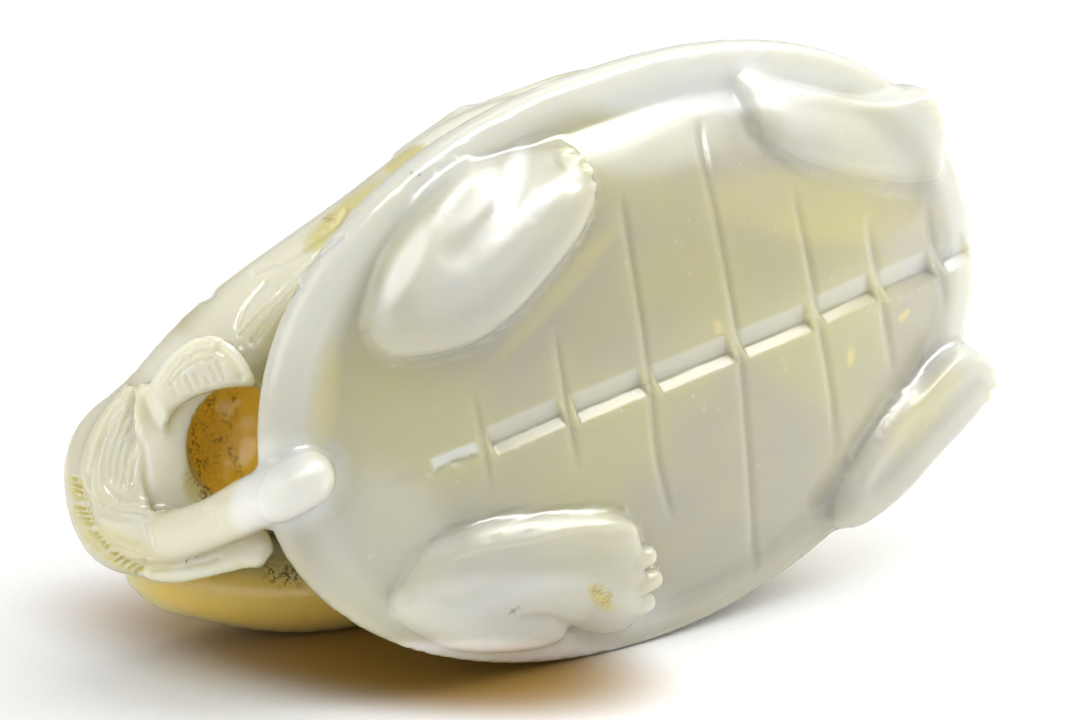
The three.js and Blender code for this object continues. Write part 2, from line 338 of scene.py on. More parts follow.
class Shell:
    """The turtle's shell with its belly, as a closed form."""

    low = np.array([-31.0, -22.5, -14.0])
    high = np.array([31.0, 22.5, 8.0])
    blend = 0.1

    def distance(self, points):
        x, y, z = points.T
        out = np.hypot(x, y)
        share = reach(x, y)
        size = np.where(share > 1e-3, out / np.maximum(share, 1e-3), TAIL_REACH)
        section = shell_section()
        best = np.full(len(points), 1e6, np.float32)
        inside = np.zeros(len(points), bool)
        for (s0, z0), (s1, z1) in zip(section[:-1], section[1:]):
            x0, x1 = s0 * size, s1 * size
            dx, dz = x1 - x0, z1 - z0
            t = np.clip(((out - x0) * dx + (z - z0) * dz) / (dx * dx + dz * dz), 0, 1)
            best = np.minimum(best, (out - x0 - t * dx) ** 2 + (z - z0 - t * dz) ** 2)
            if z0 != z1:
                crosses = ((z0 > z) != (z1 > z)) & (out < x0 + (z - z0) / (z1 - z0) * dx)
                inside ^= crosses
        return np.where(inside, -1, 1) * np.sqrt(best)


# Outlines and toes of the legs, in pixels of the picture
LEFT_HIND_LEG = [
    (372, 325), (379, 346), (398, 359), (430, 358), (480, 345), (520, 316), (560, 271), (586, 236),
    (600, 205), (597, 180), (584, 158), (562, 146), (530, 148), (492, 158), (462, 174), (430, 200),
    (403, 235), (383, 270),
]
LEFT_HIND_TOES = [(571, 151), (583, 158), (592, 170), (598, 185)]
RIGHT_HIND_LEG = [
    (396, 612), (405, 588), (425, 560), (450, 541), (475, 529), (512, 521), (560, 516), (610, 513),
    (634, 521), (643, 534), (648, 552), (650, 578), (649, 600), (643, 617), (630, 632), (608, 637),
    (590, 634), (576, 632), (568, 641), (556, 648), (535, 653), (495, 656), (455, 652), (426, 639),
    (406, 627),
]
RIGHT_HIND_TOES = [(646, 556), (652, 579), (645, 602)]
LEFT_FRONT_LEG = [
    (740, 82), (750, 73), (768, 75), (790, 82), (820, 90), (855, 98), (890, 98), (915, 90), (932, 90),
    (943, 103), (948, 125), (949, 150), (947, 172), (938, 184), (905, 187), (865, 182), (828, 172),
    (795, 160), (770, 140), (752, 113),
]
LEFT_FRONT_TOES = [(928, 97), (935, 108), (940, 121), (943, 136)]
RIGHT_FRONT_LEG = [
    (836, 520), (841, 498), (852, 474), (870, 446), (895, 411), (925, 376), (950, 353), (968, 346),
    (985, 353), (997, 368), (999, 384), (992, 398), (985, 412), (965, 436), (941, 461), (916, 490),
    (895, 509), (872, 526), (853, 532), (839, 529),
]
RIGHT_FRONT_TOES = [(984, 359), (992, 370), (994, 383), (988, 396)]


def toes(spots, lift, radius, length):
    """Toes that end where the picture shows them, side by side along the end of a foot."""
    tips = on_belly(spots, lift)
    root = tips - np.array([length, 0, 0.1])
    return [Limb([(*a, radius), (*b, radius * 0.85)], blend=0.2) for a, b in zip(root, tips)]


def legs():
    return [
        Relief(LEFT_HIND_LEG, 1.8),
        *toes(LEFT_HIND_TOES, 0.85, 0.36, 0.7),
        Relief(RIGHT_HIND_LEG, 1.8),
        *toes(RIGHT_HIND_TOES, 0.7, 0.85, 0.9),
        Relief(LEFT_FRONT_LEG, 1.3),
        *toes(LEFT_FRONT_TOES, 0.7, 0.45, 0.8),
        Relief(RIGHT_FRONT_LEG, 1.8),
        *toes(RIGHT_FRONT_TOES, 1.0, 0.45, 0.8),
    ]


def turtle_head():
    made = [Limb([(20, -1, -6, 4.4), (24.6, -1, -8.4, 3.6), (27, -1, -11, 3), (27.2, -1, -13.4, 2.3)])]
    for side in (-1, 1):
        eye = [(28, -1 + side * 1.9, -12.2, 0.7), (28.2, -1 + side * 2, -12.8, 0.6)]
        made.append(Limb(eye, blend=0.2))
    return made


def turtle_tail():
    return [
        Limb(
            [
                (-26.2, 0.4, 1.2, 1.9),
                (-27.6, 0, 0.8, 1.9),
                (-29, -1.1, -1.5, 1.8),
                (-30.4, -2.7, -4.6, 1.65),
                (-31.6, -3.9, -7.6, 1.7),
                (-32, -4.8, -10.4, 1.9),
            ],
            blend=0.6,
        )
    ]


def crane_body():
    stations = [(-20, -1.5, -12.4, 4.6), (-10, -0.8, -13.6, 8.6), (2, 0, -14, 9.8), (12, 0.6, -12, 6.6)]
    return [Limb(stations, flat=0.8, blend=0.6)]


def crane_neck():
    neck = [
        (11, 2, -14.6, 4),
        (16.6, 5, -15.2, 2.8),
        (16, 10, -15, 2.2),
        (8.6, 13.2, -14.6, 2),
        (1.2, 13.4, -14.8, 1.9),
    ]
    return [
        Limb(neck),
        Limb([(-1.4, 13, -14.8, 2.4), (-6, 12, -15, 2)], blend=1),
        Limb([(-7, 11.6, -15.2, 1.3), (-12, 9.2, -16, 1), (-18, 6.4, -16.6, 0.5)], blend=0.3),
        Limb([(-2.2, 13, -16.8, 0.6), (-2.5, 13, -16.9, 0.6)], blend=0.15),
    ]


LEFT_PRIMARIES = [
    (7, 10.8, -11.2, 4),
    (-2, 11.6, -11.4, 4),
    (-12, 8.9, -11.8, 3.6),
    (-22.4, 5.2, -12.8, 3.5),
    (-29.4, 2, -14, 2.5),
]
RIGHT_PRIMARIES = [
    (9, -15.5, -11.6, 4.6),
    (0, -14.9, -12.2, 4.5),
    (-10, -14, -13, 4.1),
    (-20.4, -13.1, -14.2, 3.5),
    (-28.6, -10.1, -14.6, 2.5),
    (-30.9, -8.5, -14.4, 1.9),
]
LEFT_COVERTS = [(-2, 8, -15.6, 3.2), (-14, 4.6, -15.8, 3.2), (-25, 1.2, -16.4, 2.2)]
RIGHT_COVERTS = [(0, -9.4, -16.2, 3.6), (-12, -8.8, -16.4, 3.4), (-24, -7, -16.4, 2.4)]


def wings():
    return [
        Limb(LEFT_PRIMARIES, flat=1.25, out=(0, 0.3, -1), blend=0.5),
        Limb([(-10, 9.6, -8.6, 2), (-17, 8, -9.6, 2.2), (-23.6, 5.8, -10.6, 1.5)], flat=0.7, blend=0.3),
        Limb(LEFT_COVERTS, flat=0.8, blend=0.4),
        Limb(RIGHT_PRIMARIES, flat=1.25, out=(0, -0.3, -1), blend=0.5),
        Limb(RIGHT_COVERTS, flat=0.8, blend=0.4),
    ]


CURL = [
    (-31.2, -6, -10.9, 1.9),
    (-33.7, -4.8, -13, 2.1),
    (-33.8, -1.8, -14.6, 2.1),
    (-32.4, 1, -15.2, 2),
    (-28.8, 2.8, -14.8, 1.9),
]

# Outlines of the plumes at the tail, in pixels of the picture
FAN = [
    (150, 386), (158, 370), (170, 354), (188, 341), (205, 335), (222, 338), (238, 350), (249, 366),
    (256, 385), (236, 387), (215, 390), (192, 398), (176, 410), (164, 426), (155, 408),
]
FEATHER_PANEL = [
    (131, 384), (112, 400), (94, 425), (84, 450), (81, 475), (86, 497), (98, 512), (122, 520),
    (150, 520), (149, 495), (144, 465), (139, 437), (134, 412),
]
RIDGE = [
    (134, 388), (146, 383), (156, 396), (163, 412), (168, 430), (164, 436), (156, 427), (148, 411),
    (141, 399),
]
BAND = [
    (86, 500), (100, 512), (125, 516), (160, 514), (182, 522), (172, 550), (140, 560), (114, 548),
    (97, 530),
]
POINT = [
    (146, 566), (180, 556), (215, 546), (240, 538), (262, 526), (274, 548), (268, 557), (262, 567),
    (245, 568), (225, 573), (175, 583), (145, 577),
]
HOLLOW_WALL = [
    (136, 396), (160, 385), (215, 380), (268, 380), (272, 450), (262, 530), (200, 525), (160, 522),
    (140, 500), (134, 450),
]


def plumes():
    return [
        Limb(CURL, flat=1.1, blend=0.3),
        Plate(HOLLOW_WALL, 5.0, tilt=(-0.3, -0.25), bulge=0, thick=6, blend=0.7),
        Plate(FEATHER_PANEL, 5.5, tilt=(0.12, 0.05), bulge=0.4, blend=0.25),
        Plate(RIDGE, 6.7, tilt=(-0.1, -0.2), bulge=0.3, blend=0.4, dome=0.5),
        Plate(FAN, 7.7, tilt=(0.05, -0.2), bulge=0.2, blend=0.3, dome=0.8),
        Plate(BAND, 5.7, tilt=(0.2, 0.1), bulge=0.3, blend=0.5),
        Plate(POINT, 4.9, tilt=(0, 0), bulge=0.3, blend=0.3, dome=1),
        Limb([(-30, -3, -16.4, 3.2), (-24, -2.6, -16.2, 4.4), (-16, -2, -15.6, 5)], flat=0.6, blend=0.5),
    ]


class Bowl:
    """A rounded hollow that the camera looks into. spot is its middle, and size its half sizes in mm."""

    def __init__(self, spot, near, size, blend=0.5):
        self.spot, self.near, self.size, self.blend = spot, near, size, blend
        middle = from_view(in_view(spot, near))
        self.low, self.high = middle - max(size) - ROOM, middle + max(size) + ROOM

    def distance(self, points):
        across, down, near = seen(points)
        across = (across - self.spot[0]) / PIXELS_PER_MM / self.size[0]
        down = (down - self.spot[1]) / PIXELS_PER_MM / self.size[1]
        near = (near - self.near) / self.size[2]
        return (np.sqrt(across**2 + down**2 + near**2) - 1) * min(self.size)


HOLLOW = Bowl((236, 442), 4.1, (3.4, 4.1, 3.2))


def all_forms():
    groups = [legs(), turtle_head(), turtle_tail(), crane_body(), crane_neck(), wings(), plumes()]
    return [Shell()] + [form for group in groups for form in group]


def boxed(points, form):
    """Which points are in the box round a form."""
    return np.flatnonzero(((points > form.low) & (points < form.high)).all(axis=1))


def carved_distance(points, forms):
    """The distance to the whole carving at points."""
    whole = np.full(len(points), FAR, np.float32)
    for form in forms:
        near = boxed(points, form)
        if len(near):
            whole[near] = blended(whole[near], form.distance(points[near]), form.blend)
    near = boxed(points, HOLLOW)
    whole[near] = -blended(-whole[near], HOLLOW.distance(points[near]), HOLLOW.blend)
    return whole


# Meshing

def sampled(forms):
    """The carving's distance on a regular grid, with the grid's first corner."""
    low = np.min([f.low for f in forms], axis=0) - GRID_STEP
    high = np.max([f.high for f in forms], axis=0) + GRID_STEP
    counts = np.ceil((high - low) / GRID_STEP).astype(int) + 1
    axes = [low[k] + GRID_STEP * np.arange(counts[k]) for k in range(3)]
    points = np.stack(np.meshgrid(*axes, indexing="ij"), axis=-1).reshape(-1, 3)
    return carved_distance(points, forms).reshape(counts), low


OFFSETS = np.array(list(itertools.product((0, 1), repeat=3)))


def net_corners(field, low, cells):
    """The corner in each crossed cell, in the middle of where the zero surface crosses its edges."""
    values = np.stack([field[tuple((cells + offset).T)] for offset in OFFSETS], axis=1)
    total = np.zeros((len(cells), 3))
    hits = np.zeros(len(cells))
    for a, axis in itertools.product(range(8), range(3)):
        if OFFSETS[a][axis]:
            continue
        b = a + (4, 2, 1)[axis]
        crossing = (values[:, a] < 0) != (values[:, b] < 0)
        span = np.where(crossing, values[:, a] - values[:, b], 1)
        place = np.repeat(OFFSETS[a][None, :].astype(float), len(cells), axis=0)
        place[:, axis] += np.where(crossing, values[:, a] / span, 0)
        total += place * crossing[:, None]
        hits += crossing
    return low + GRID_STEP * (cells + total / hits[:, None])


def net_quads(inside, number, axis):
    """The quads across the grid's edges along one axis, from the number of the corner in each cell."""
    one, two = [k for k in range(3) if k != axis]
    step = np.eye(3, dtype=int)
    first = [slice(1, -1)] * 3
    first[axis] = slice(0, -1)
    second = list(first)
    second[axis] = slice(1, None)
    changed = np.argwhere(inside[tuple(first)] != inside[tuple(second)]) + (1 - step[axis])
    rising = inside[tuple(changed.T)]
    ring = [changed - step[one] - step[two], changed - step[two], changed, changed - step[one]]
    quad = np.stack([number[tuple(r.T)] for r in ring], axis=1)
    kept = rising if axis != 1 else ~rising
    quad[~kept] = quad[~kept][:, ::-1]
    return quad


def net_of(field, low):
    """The zero surface of a field as corners and triangles that face outwards."""
    inside = field < 0
    shape = np.array(field.shape) - 1
    count = np.zeros(shape, int)
    for i, j, k in OFFSETS:
        count += inside[i : i + shape[0], j : j + shape[1], k : k + shape[2]]
    cells = np.argwhere((count > 0) & (count < 8))
    number = np.full(shape, -1)
    number[tuple(cells.T)] = np.arange(len(cells))
    corners = net_corners(field, low, cells)
    quads = np.concatenate([net_quads(inside, number, axis) for axis in range(3)])
    return corners, split_quads(corners, quads)


def split_quads(corners, quads):
    """Quads cut along their shorter diagonals."""
    a, b, c, d = (corners[quads[:, k]] for k in range(4))
    first = np.linalg.norm(a - c, axis=1) <= np.linalg.norm(b - d, axis=1)
    halves = ((first, [0, 1, 2]), (first, [0, 2, 3]), (~first, [0, 1, 3]), (~first, [1, 2, 3]))
    return np.concatenate([quads[chosen][:, order] for chosen, order in halves])


def refined(corners, faces, chosen):
    """The triangles with every edge of the chosen ones halved."""
    edges = np.sort(faces[:, [0, 1, 1, 2, 2, 0]].reshape(-1, 2), axis=1)
    unique, back = np.unique(edges, axis=0, return_inverse=True)
    back = back.reshape(-1, 3)
    cut = np.zeros(len(unique), bool)
    cut[back[chosen].ravel()] = True
    middle = np.full(len(unique), -1)
    middle[cut] = len(corners) + np.arange(cut.sum())
    corners = np.vstack([corners, corners[unique[cut]].mean(axis=1)])
    mids = middle[back]
    parts = [faces[(mids < 0).all(axis=1)]]
    for turn in range(3):
        a, b, c = (faces[:, (turn + k) % 3] for k in range(3))
        ab, bc, ca = (mids[:, (turn + k) % 3] for k in range(3))
        one = (ab >= 0) & (bc < 0) & (ca < 0)
        parts += [np.stack(t, 1)[one] for t in ((a, ab, c), (ab, b, c))]
        two = (ab >= 0) & (bc >= 0) & (ca < 0)
        parts += [np.stack(t, 1)[two] for t in ((ab, b, bc), (a, ab, bc), (a, bc, c))]
    three = (mids >= 0).all(axis=1)
    a, b, c = faces[three].T
    ab, bc, ca = mids[three].T
    parts += [np.stack(t, 1) for t in ((a, ab, ca), (ab, b, bc), (ca, bc, c), (ab, bc, ca))]
    return corners, np.concatenate(parts)


def slope(points, forms, gap=0.05):
    """The distance at points and its gradient."""
    here = carved_distance(points, forms)
    steps = [carved_distance(points + gap * np.eye(3)[k], forms) - here for k in range(3)]
    return here, np.stack(steps, axis=1) / gap


def settled(points, forms, rounds=2):
    """Points moved onto the carving's true surface, and its normals there."""
    for _ in range(rounds):
        here, gradient = slope(points, forms)
        size = np.maximum((gradient * gradient).sum(axis=1), LEAST_SLOPE**2)
        points = points - np.clip(here / size, -LONGEST_MOVE, LONGEST_MOVE)[:, None] * gradient
    return points, gradient / np.maximum(np.linalg.norm(gradient, axis=1, keepdims=True), 1e-6)


# Patches of colour in the picture: middle, half sizes, turn in degrees, strength and, for those that lie
# behind other forms, the greatest nearness in mm
# Paler stone with painted light: the glow of lit and thin parts, the painted brightening of the shaded
# hollow wall and of the backlit hump beyond the rim, and the painted reflection of the light above the
# belly's shine
PALE_AND_LIT_PATCHES = [
    (285, 480, 60, 50, 0, 0.8), (380, 560, 70, 90, 0, 0.3), (195, 370, 60, 40, -20, 0.8),
    (110, 460, 60, 90, 0, 0.5), (200, 530, 90, 24, -18, 0.6), (480, 240, 50, 110, 40, 0.45),
    (520, 610, 140, 40, 0, 0.7), (860, 130, 100, 50, 5, 0.4), (430, 120, 90, 40, -30, 0.8, 8),
    (260, 280, 130, 24, -45, 0.6, 8), (175, 450, 34, 70, 0, 0.7, 6.4),
    (215, 560, 75, 16, -8, 0.6, 5.5), (700, 85, 180, 30, -2, 0.8), (655, 138, 70, 36, -14, 0.35),
]
# Painted glow of thin stone that light passes through, painted highlight streaks on the left hind leg,
# and painted light on the rim's lowest edge
THIN_GLOW_PATCHES = [
    (176, 452, 44, 80, 0, 1, 6.4), (234, 358, 22, 11, 48, 1), (140, 462, 7, 44, -4, 1),
    (158, 412, 8, 28, -25, 0.9), (110, 450, 60, 90, 0, 0.25), (195, 365, 66, 36, -20, 0.6),
    (170, 525, 110, 34, -14, 0.45), (215, 560, 75, 18, -8, 1, 5.6), (450, 110, 110, 40, -28, 1, 8),
    (270, 280, 150, 30, -46, 0.6, 8), (407, 264, 11, 46, 28, 0.5), (511, 186, 12, 40, 16, 0.6),
    (528, 212, 56, 9, -42, 0.35), (448, 206, 6, 38, 38, 0.4), (480, 655, 160, 14, 0, 0.8),
]
# Golden and ochre stone, and on the lobe below the tail and in the hollow a painted shade lit golden by
# light through the stone
GOLDEN_AND_SHADED_PATCHES = [
    (236, 442, 58, 70, 0, 1, 4.2), (204, 474, 24, 34, 0, 0.5, 5.0), (175, 450, 34, 70, 0, 0.2, 6.4),
    (250, 600, 135, 34, 8, 0.76, 1.5), (215, 565, 75, 14, -8, 0.3, 5.2),
    (350, 215, 60, 16, -38, 0.5, 9), (405, 160, 26, 12, -30, 0.5, 9), (820, 205, 120, 40, 5, 0.22),
    (925, 412, 20, 60, 40, 0.22), (325, 400, 14, 60, 8, 0.25), (555, 295, 12, 100, 42, 0.2),
    (275, 580, 30, 26, 0, 0.6, 1.5), (125, 550, 60, 20, 25, 0.3, 9), (601, 598, 16, 8, 50, 0.6),
    (719, 328, 8, 4, -60, 0.5), (781, 342, 7, 3, -20, 0.35), (784, 364, 8, 3, 40, 0.4),
    (850, 357, 4, 11, 8, 0.5), (904, 314, 7, 4, -40, 0.5),
]
STAINS = [
    (228, 415, 7, 34, 14, 0.6, 3.7), (196, 470, 10, 16, 0, 0.8, 4.6),
    (204, 492, 8, 14, 0, 0.8, 4.6), (202, 425, 9, 44, 16, 0.6, 4.6),
    (214, 452, 12, 40, 4, 0.35, 4.2), (234, 458, 4, 20, -18, 0.6, 3.2),
    (282, 574, 20, 12, 20, 0.8, 3), (601, 598, 15, 10, 50, 0.35), (513, 612, 4, 6, 0, 0.5),
    (329, 218, 6, 4, 0, 0.8), (303, 238, 3, 3, 0, 0.6), (415, 174, 7, 2, 0, 0.8),
]


# Fine carving, where the picture shows it

class Cut:
    """A cut or, with a negative depth, a ridge along a smooth line of the picture.

    left and right are its widths in pixels on either side of the line as it runs, depth is in mm.
    """

    def __init__(self, line, left, right, depth, fade=14, soft=False):
        knots = np.array(line, float)
        self.line = smooth_path(knots, 5) if len(knots) > 2 else knots
        steps = np.linalg.norm(np.diff(self.line, axis=0), axis=1)
        self.along = np.concatenate([[0], np.cumsum(steps)])
        self.left, self.right, self.depth, self.fade, self.soft = left, right, depth, fade, soft

    def near(self, across, down, margin=0):
        wide = max(self.left, self.right) + margin
        low, high = self.line.min(axis=0) - wide, self.line.max(axis=0) + wide
        return (across > low[0]) & (across < high[0]) & (down > low[1]) & (down < high[1])

    def measured(self, across, down):
        """The distance to the line, the side of it and the way along it."""
        best = np.full(len(across), 1e9)
        side = np.zeros(len(across))
        run = np.zeros(len(across))
        for i, (start, end) in enumerate(zip(self.line[:-1], self.line[1:])):
            step = end - start
            size = np.hypot(*step)
            t = np.clip(((across - start[0]) * step[0] + (down - start[1]) * step[1]) / size**2, 0, 1)
            off_x, off_y = across - start[0] - t * step[0], down - start[1] - t * step[1]
            off = np.hypot(off_x, off_y)
            closer = off < best
            best = np.where(closer, off, best)
            side = np.where(closer, step[0] * off_y - step[1] * off_x, side)
            run = np.where(closer, self.along[i] + t * size, run)
        return best, side, run

    def depths(self, across, down):
        off, side, run = self.measured(across, down)
        width = np.where(side > 0, self.right, self.left)
        shape = np.clip(1 - off / width, 0, 1)
        if self.soft:
            shape = shape * shape * (3 - 2 * shape)
        ends = np.clip(self.to_end(run) / self.fade, 0, 1)
        return self.depth * shape * ends * (2 - ends)

    def to_end(self, run):
        """The way in pixels to the nearer end of the line."""
        return np.minimum(run, self.along[-1] - run)


def close_to(cut, across, down, wanted, margin=0):
    """The wanted corners near a cut, with their distance to it, side of it and way along it."""
    close = np.flatnonzero(cut.near(across, down, margin) & wanted)
    return close, *cut.measured(across[close], down[close])


# Widths in pixels of the middle line's two slopes, the one towards the turtle's left side first
MIDDLE_LINE_WIDTHS = (22, 11)


def belly_cuts():
    """The middle line, which steps at each plate, and the lines between the plates."""
    steps = [
        ((432, 471), (481, 452)),
        ((492, 448), (566, 416)),
        ((577, 415), (647, 386)),
        ((658, 385), (735, 353)),
        ((744, 350), (813, 322)),
        ((822, 316), (877, 291)),
        ((885, 291), (935, 269)),
        ((943, 265), (972, 250)),
    ]
    middle = [Cut(steps[0], 13, 7, 0.36, fade=30)]
    middle += [Cut(step, *MIDDLE_LINE_WIDTHS, 0.62, fade=4) for step in steps[1:]]
    plates = [
        [(474, 392), (482, 425), (487, 452), (492, 490)],
        [(555, 325), (563, 370), (570, 415), (580, 470)],
        [(622, 190), (640, 300), (652, 384), (658, 450), (674, 522)],
        [(697, 120), (722, 240), (740, 345), (748, 430), (757, 575)],
        [(795, 185), (810, 260), (820, 318), (832, 390), (840, 462)],
        [(866, 215), (876, 260), (881, 290), (890, 340), (897, 380)],
        [(926, 200), (934, 240), (940, 268), (946, 305)],
    ]
    end = Cut([(376, 487), (400, 480), (430, 471)], 12, 9, 0.1, fade=30, soft=True)
    return middle, [end] + [Cut(line, 6, 7, 0.2, fade=40) for line in plates]


# The folds of the legs: a line of the picture, its widths and depth, how far its ends fade and whether it
# is soft. The first five are on the left hind leg
LEG_FOLDS = [
    ([(488, 152), (501, 178), (500, 206), (478, 236), (440, 262)], 30, 16, 0.16, 34, True),
    ([(470, 160), (515, 149), (562, 144)], 10, 60, 0.26, 30, True),
    ([(386, 308), (400, 264), (428, 228), (455, 195), (482, 172)], 22, 30, -0.2, 30, True),
    ([(568, 188), (538, 206), (505, 232), (470, 262)], 20, 26, -0.08, 30, True),
    ([(550, 154), (566, 172), (580, 188)], 5, 14, 0.14, 14, False),
    ([(448, 561), (480, 549), (530, 541), (562, 533), (618, 527), (642, 533)], 9, 8, -0.2, 14, False),
    ([(425, 602), (470, 602), (510, 587), (550, 573), (640, 559)], 22, 14, 0.16, 14, True),
    ([(520, 619), (552, 620), (580, 632)], 8, 14, 0.3, 20, False),
    ([(775, 86), (850, 101), (900, 104), (938, 95)], 6, 14, -0.16, 14, False),
    ([(862, 487), (895, 435), (925, 397), (966, 350)], 10, 14, -0.22, 14, True),
    ([(868, 500), (905, 455), (940, 418), (985, 378)], 16, 16, 0.3, 14, True),
]


def plume_cuts():
    """The lines of the feathers round the hollow."""
    panel = [
        [(131, 388), (107, 430), (94, 460), (86, 500), (95, 528)],
        [(118, 400), (101, 440), (94, 475), (99, 500), (120, 512), (152, 516)],
        [(125, 404), (109, 440), (103, 470), (108, 490), (125, 501), (155, 503)],
        [(131, 410), (117, 440), (111, 465), (112, 484)],
        [(136, 416), (123, 446), (117, 470), (117, 487)],
        [(141, 424), (130, 450), (125, 472), (124, 489)],
        [(139, 448), (134, 470), (132, 491)],
    ]
    fan = [
        [(160, 384), (177, 359), (197, 343), (216, 343)],
        [(163, 388), (182, 363), (204, 351), (224, 354)],
        [(166, 391), (184, 370), (206, 359), (226, 363)],
    ]
    barbs = [[(169 + 8 * i, 380 - 3.2 * i), (177 + 8 * i, 398 - 3 * i)] for i in range(7)]
    rings = [[(205, 508), (213, 532)], [(209, 506), (217, 530)]]
    rings += [[(143, 522), (150, 550)], [(148, 520), (155, 549)]]
    plates = [
        [(235, 330), (246, 304), (268, 277)],
        [(238, 338), (262, 310), (300, 270), (345, 232)],
        [(250, 345), (268, 318), (300, 282)],
        [(250, 273), (270, 264), (283, 262), (312, 243), (336, 224), (348, 206)],
        [(150, 573), (200, 563), (222, 556)],
        [(88, 470), (88, 500), (98, 527), (117, 546), (150, 560)],
    ]
    facets = [
        Cut([(216, 344), (232, 361), (244, 380)], 12, 6, 0.25, fade=6),
        Cut([(134, 424), (145, 452), (149, 500)], 3, 12, 0.3, fade=20),
    ]
    lines = [Cut(line, 3, 3, 0.14, fade=8) for line in panel + fan]
    lines += [Cut(line, 2.6, 2.6, 0.12, fade=3) for line in barbs + rings]
    lines += [Cut(line, 3, 6, 0.22, fade=6) for line in plates]
    return lines + facets


def notches():
    """The slanting notches along the outer edge of the curl."""
    edge = smooth_path([(76, 480), (80, 508), (92, 534), (113, 556), (146, 574)], 5)
    places = np.linspace(0, len(edge) - 1, 17)
    made = []
    for place in places:
        step = min(int(place), len(edge) - 2)
        run = edge[step + 1] - edge[step]
        run /= np.hypot(*run)
        slant = np.array([run[1], -run[0]]) * 5 + run * 3
        made.append(Cut([edge[step] - slant, edge[step] + slant], 2, 3, 0.35, fade=4))
    return made


def feather_lines(stations, offsets, start):
    """Lines along a wing, each at an offset in mm from its middle line, from a share of the way on."""
    line = smooth_path(stations)[:, :2]
    line = line[int(start * len(line)) :]
    run = np.gradient(line, axis=0)
    across = np.stack([-run[:, 1], run[:, 0]], axis=1) / np.hypot(*run.T)[:, None]
    return [Cut((line + across * off)[::3] * PIXELS_PER_MM, 9, 9, 0.25, fade=30) for off in offsets]


def back_cuts():
    """Plainer carving on the hidden back: long feathers, rows of small ones and the shell's plates."""
    made = []
    for stations in (LEFT_PRIMARIES, RIGHT_PRIMARIES):
        made += feather_lines(stations, (-1.3, 1.3), 0.3)
    for stations in (LEFT_COVERTS, RIGHT_COVERTS):
        made += feather_lines(stations, (0,), 0.3)
    turns = np.radians(np.arange(105, 256, 25))
    for row in range(4):
        for column in range(-1, 2):
            middle = np.array([-13 + 4.6 * row, 4 * column + (row % 2) * 2 - 1])
            arc = middle + 2.1 * np.stack([np.cos(turns), np.sin(turns)], axis=1)
            made.append(Cut(arc * PIXELS_PER_MM, 9, 6, 0.22, fade=12))
    for turn in np.radians(np.arange(0, 360, 20)):
        way = np.array([math.cos(turn), math.sin(turn)])
        size = PIXELS_PER_MM / reach(way[0], way[1])
        made.append(Cut(np.array([way * 0.8, way * 0.97]) * size, 8, 8, 0.25, fade=12))
    return made


def sheet(corners, normals, back=False):
    """Where corners are on the sheet that cuts are drawn on, and how far they face it.

    The sheet in front is the picture. The one behind is the carving's plan at the picture's scale.
    """
    if back:
        across, down = corners[:, 0] * PIXELS_PER_MM, corners[:, 1] * PIXELS_PER_MM
        return across, down, np.clip(-normals[:, 2] * 4, 0, 1)
    across, down, _ = seen(corners)
    return across, down, np.clip((normals @ AXES[:, 2]) * 4 + 0.6, 0, 1)


def engraved(corners, normals, cuts, back=False):
    """How deep the cuts go at each corner that faces their sheet."""
    across, down, facing = sheet(corners, normals, back)
    depth = np.zeros(len(corners))
    for cut in cuts:
        close = np.flatnonzero(cut.near(across, down) & (facing > 0))
        depth[close] += cut.depths(across[close], down[close])
    return depth * facing


def patch(across, down, middle, size, turn=0.0, soft=0.5):
    """One inside an ellipse of the picture and nothing outside it. turn is in degrees, clockwise."""
    angle = math.radians(turn)
    x, y = across - middle[0], down - middle[1]
    long = (x * math.cos(angle) + y * math.sin(angle)) / size[0]
    short = (y * math.cos(angle) - x * math.sin(angle)) / size[1]
    inside = np.clip((1 - np.hypot(long, short)) / soft + 0.5, 0, 1)
    return inside * inside * (3 - 2 * inside)


def patches(rows, across, down, near, soft):
    """The strongest of a list of patches at each corner."""
    best = np.zeros(len(across))
    for x, y, long, wide, turn, amount, *nearest in rows:
        limit = np.clip((nearest[0] - near) / 0.8 + 0.5, 0, 1) if nearest else 1.0
        best = np.maximum(best, amount * limit * patch(across, down, (x, y), (long, wide), turn, soft))
    return best


# The number layers of the stone's mesh, from which its material takes its colours, painted light and
# shade among them, and its polish
LAYERS = ("pale", "golden", "thin_glow", "stain", "softness")

# How pale the legs and the rim are, paler stone with painted light from above, where on the way to the
# outline the rim's colour starts, and the row of the picture by which this painted light on the rim has
# faded to its least. How golden the hidden back is
LEG_PALENESS = 0.3
RIM_PALENESS = 0.7
RIM_START = 0.84
RIM_FADED_ROW = 580
BACK_GOLD = 0.2

# How far in pixels a cut's colour spreads, and the painted reflection that lightens the middle line's
# upper slope
LINE_SPREAD = 2.5
FIRST_STEP_PAINTED_REFLECTION = 0.8
MIDDLE_PAINTED_REFLECTION = 0.4


